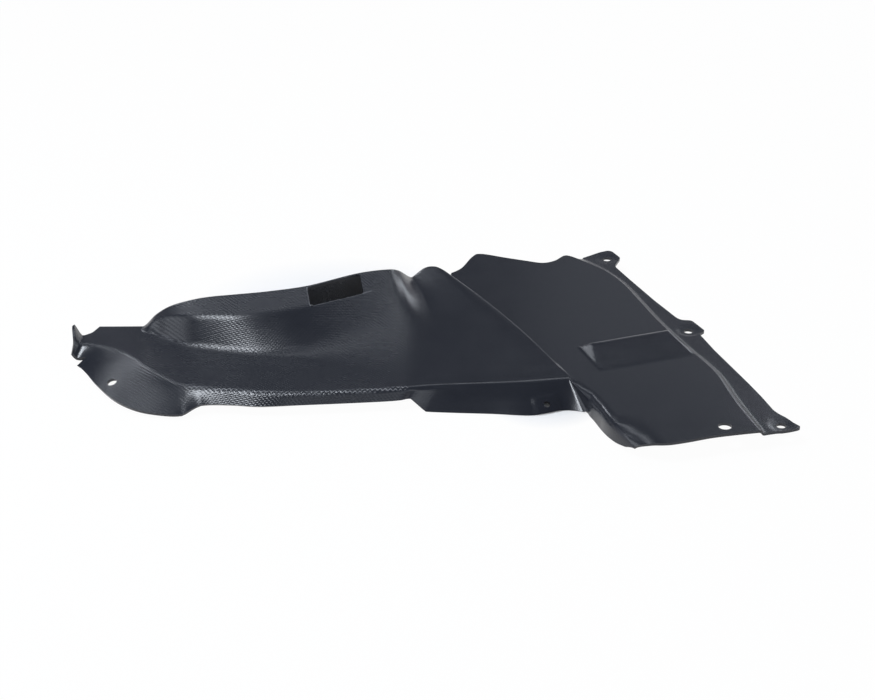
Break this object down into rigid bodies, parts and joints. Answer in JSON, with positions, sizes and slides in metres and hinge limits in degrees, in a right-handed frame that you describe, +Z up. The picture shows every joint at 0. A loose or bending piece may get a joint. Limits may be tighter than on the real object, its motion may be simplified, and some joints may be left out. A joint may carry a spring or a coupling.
{
  "type": "wheel arch liner",
  "caption": "Moulded plastic wheel arch liner section with a raised mound, a slanted cut-out, a fin, a flat panel with a raised wedge and a stepped flange with bored tabs.",
  "frame": {"origin": "centre of the ground rectangle that the liner covers, on the plane that its lower edges stand on", "axes": "+X along the length towards the fixing flange, +Y from the front skirt towards the mound's crest and the fin, +Z up out of the outer face"},
  "size_m": [0.6271, 0.3873, 0.0516],
  "materials": {
    "liner": "satin black with an embossed fine weave grain on the outer face"
  },
  "bodies": {
    "root": {"arch_liner": "liner"}
  },
  "joints": []
}
